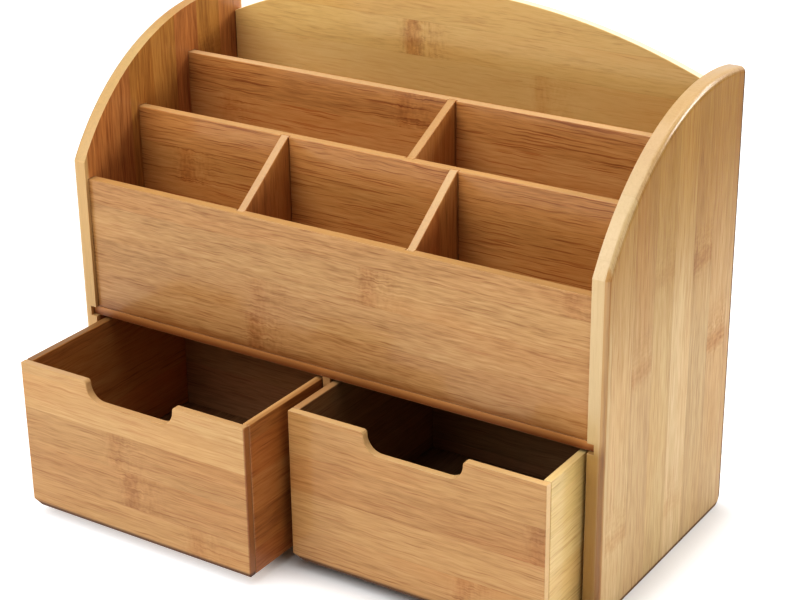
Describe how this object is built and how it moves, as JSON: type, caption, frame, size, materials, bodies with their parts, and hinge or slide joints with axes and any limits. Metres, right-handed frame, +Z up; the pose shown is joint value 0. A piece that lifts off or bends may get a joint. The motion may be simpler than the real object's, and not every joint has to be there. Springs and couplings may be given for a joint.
{
  "type": "desk organizer",
  "caption": "Bamboo desk organizer with open stepped compartments, curved side panels, an arched back and sliding drawers with finger notches.",
  "frame": {"origin": "centre of the carcass's underside, on the surface that the organizer stands on", "axes": "+X to the right as seen from the front, +Y from front to back, +Z up; the drawers pull out along -Y"},
  "size_m": [0.33, 0.2107, 0.2722],
  "materials": {
    "bamboo_sides": "satin lacquer",
    "bamboo_panels": "satin lacquer",
    "bamboo_partitions": "satin lacquer",
    "bamboo_drawer_fronts": "satin lacquer",
    "bamboo_drawer_walls": "satin lacquer"
  },
  "bodies": {
    "carcass": {"side_panel_left": "bamboo_sides", "side_panel_right": "bamboo_sides", "back_panel": "bamboo_panels", "front_panel": "bamboo_panels", "middle_partition": "bamboo_partitions", "rear_partition": "bamboo_partitions", "compartment_floor": "bamboo_partitions", "base_panel": "bamboo_partitions", "drawer_bay_divider": "bamboo_partitions", "front_divider_left": "bamboo_partitions", "front_divider_right": "bamboo_partitions", "middle_divider": "bamboo_partitions"},
    "drawer_left": {"drawer_left_front": "bamboo_drawer_fronts", "drawer_left_wall_left": "bamboo_drawer_walls", "drawer_left_wall_right": "bamboo_drawer_walls", "drawer_left_back": "bamboo_drawer_walls", "drawer_left_bottom": "bamboo_drawer_walls"},
    "drawer_right": {"drawer_right_front": "bamboo_drawer_fronts", "drawer_right_wall_left": "bamboo_drawer_walls", "drawer_right_wall_right": "bamboo_drawer_walls", "drawer_right_back": "bamboo_drawer_walls", "drawer_right_bottom": "bamboo_drawer_walls"}
  },
  "joints": [
    {"name": "drawer_left_slide", "type": "slide", "parent": "carcass", "child": "drawer_left", "axis": [0, -1, 0], "range_m": [-0.0672, 0.0328]},
    {"name": "drawer_right_slide", "type": "slide", "parent": "carcass", "child": "drawer_right", "axis": [0, -1, 0], "range_m": [-0.0386, 0.0614]}
  ]
}
